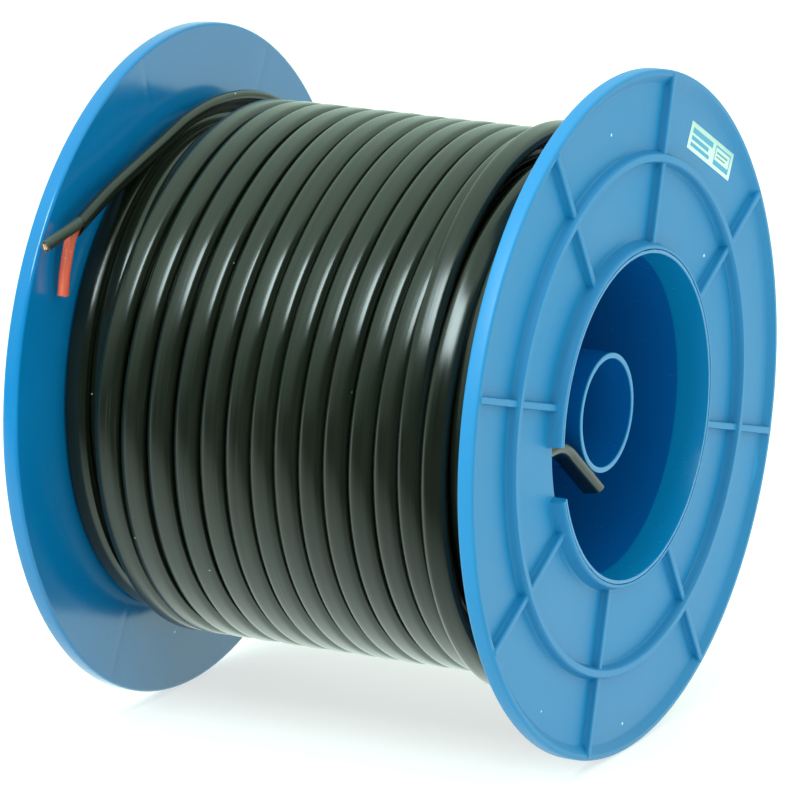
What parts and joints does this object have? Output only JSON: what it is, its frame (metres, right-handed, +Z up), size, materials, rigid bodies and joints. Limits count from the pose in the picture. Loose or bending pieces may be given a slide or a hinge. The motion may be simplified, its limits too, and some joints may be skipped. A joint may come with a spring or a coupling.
{
  "type": "wire spool",
  "caption": "Two-flange plastic reel with a hollow barrel and spindle tube, wound with flat twin-core cable whose stripped outer end and cut inner end stand free.",
  "frame": {"origin": "on the spool's axis, midway between the two flanges", "axes": "+Y along the spool's axis from the near flange (label, inner cable end) to the far flange (stripped outer end), +Z up with the spool standing on its rims, +X across"},
  "size_m": [0.2, 0.1548, 0.2],
  "materials": {
    "spool_plastic": "gloss",
    "cable_sheath": "satin",
    "black_core": "satin",
    "red_core": "satin",
    "copper": "satin",
    "label": "gloss"
  },
  "bodies": {
    "spool": {"near_flange": "spool_plastic", "far_flange": "spool_plastic", "barrel": "spool_plastic", "hub_web": "spool_plastic", "spindle_tube": "spool_plastic", "label": "label", "cable_layer_1": "cable_sheath", "cable_layer_2": "cable_sheath", "cable_layer_3": "cable_sheath", "cable_layer_4": "cable_sheath", "cable_layer_5": "cable_sheath", "cable_layer_6": "cable_sheath", "cable_layer_7": "cable_sheath", "climbing_turn": "cable_sheath", "outer_lead": "cable_sheath", "inner_lead": "cable_sheath"},
    "outer_tail": {"tail_sheath": "cable_sheath", "tail_black_core": "black_core", "tail_red_core": "red_core", "tail_black_conductor": "copper", "tail_red_conductor": "copper"},
    "black_core_end": {"black_end_insulation": "black_core", "black_end_conductor": "copper"},
    "red_core_end": {"red_end_insulation": "red_core", "red_end_conductor": "copper"},
    "inner_tail": {"inner_sheath": "cable_sheath", "inner_black_core": "black_core", "inner_red_core": "red_core", "inner_black_conductor": "copper", "inner_red_conductor": "copper"}
  },
  "joints": [
    {"name": "outer_tail_lift", "type": "hinge", "parent": "spool", "child": "outer_tail", "pos_m": [-0.02228, 0.0652, 0.07478], "axis": [0, 1, 0], "range_deg": [0, 30]},
    {"name": "black_core_bend", "type": "hinge", "parent": "outer_tail", "child": "black_core_end", "pos_m": [-0.07562, 0.06407, 0.05666], "axis": [0, 1, 0], "range_deg": [-15, 25]},
    {"name": "red_core_bend", "type": "hinge", "parent": "outer_tail", "child": "red_core_end", "pos_m": [-0.07488, 0.06633, 0.05417], "axis": [0, 1, 0], "range_deg": [-15, 20]},
    {"name": "inner_tail_bend", "type": "hinge", "parent": "spool", "child": "inner_tail", "pos_m": [-0.0452, -0.06605, -0.0046], "axis": [0, 1, 0], "range_deg": [0, 20]}
  ]
}
